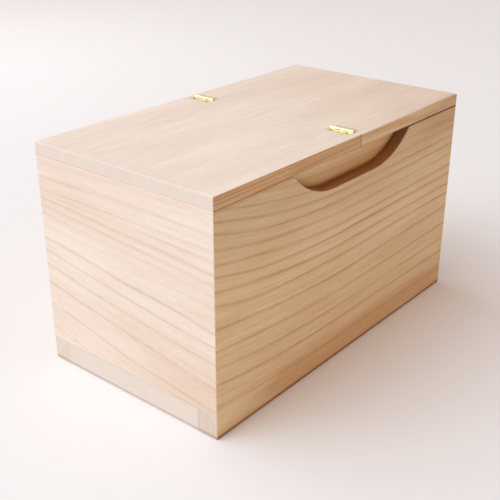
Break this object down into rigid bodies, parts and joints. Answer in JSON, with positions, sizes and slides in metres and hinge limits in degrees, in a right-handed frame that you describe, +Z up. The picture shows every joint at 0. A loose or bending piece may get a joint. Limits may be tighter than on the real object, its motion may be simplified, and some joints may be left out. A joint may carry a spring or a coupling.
{
  "type": "rice storage box",
  "caption": "Rectangular paulownia wood chest for rice. Its flush split lid folds back on brass butt hinges and lifts off, and the front has a finger recess.",
  "frame": {"origin": "centre of the footprint, on the surface that the box stands on", "axes": "+X along the length towards the lid's fixed half, +Y towards the back, +Z up; the finger recess faces -Y"},
  "size_m": [0.366, 0.2, 0.2121],
  "materials": {
    "paulownia": "planed, unfinished",
    "brass": "polished"
  },
  "bodies": {
    "box": {"front_board": "paulownia", "back_board": "paulownia", "left_end_board": "paulownia", "right_end_board": "paulownia", "bottom_board": "paulownia"},
    "lid_fixed": {"lid_fixed_half": "paulownia", "fixed_half_end_batten": "paulownia", "fixed_half_middle_batten": "paulownia", "front_hinge_fixed_leaf": "brass", "front_hinge_fixed_screws": "brass", "front_hinge_pin": "brass", "rear_hinge_fixed_leaf": "brass", "rear_hinge_fixed_screws": "brass", "rear_hinge_pin": "brass"},
    "lid_folding": {"lid_folding_half": "paulownia", "folding_half_end_batten": "paulownia", "folding_half_middle_batten": "paulownia", "front_hinge_folding_leaf": "brass", "front_hinge_folding_screws": "brass", "rear_hinge_folding_leaf": "brass", "rear_hinge_folding_screws": "brass"}
  },
  "joints": [
    {"name": "lid_lift", "type": "slide", "parent": "box", "child": "lid_fixed", "axis": [0, 0, 1], "range_m": [0, 0.06]},
    {"name": "lid_fold", "type": "hinge", "parent": "lid_fixed", "child": "lid_folding", "pos_m": [0.008, 0, 0.2107], "axis": [0, 1, 0], "range_deg": [0, 180]}
  ]
}
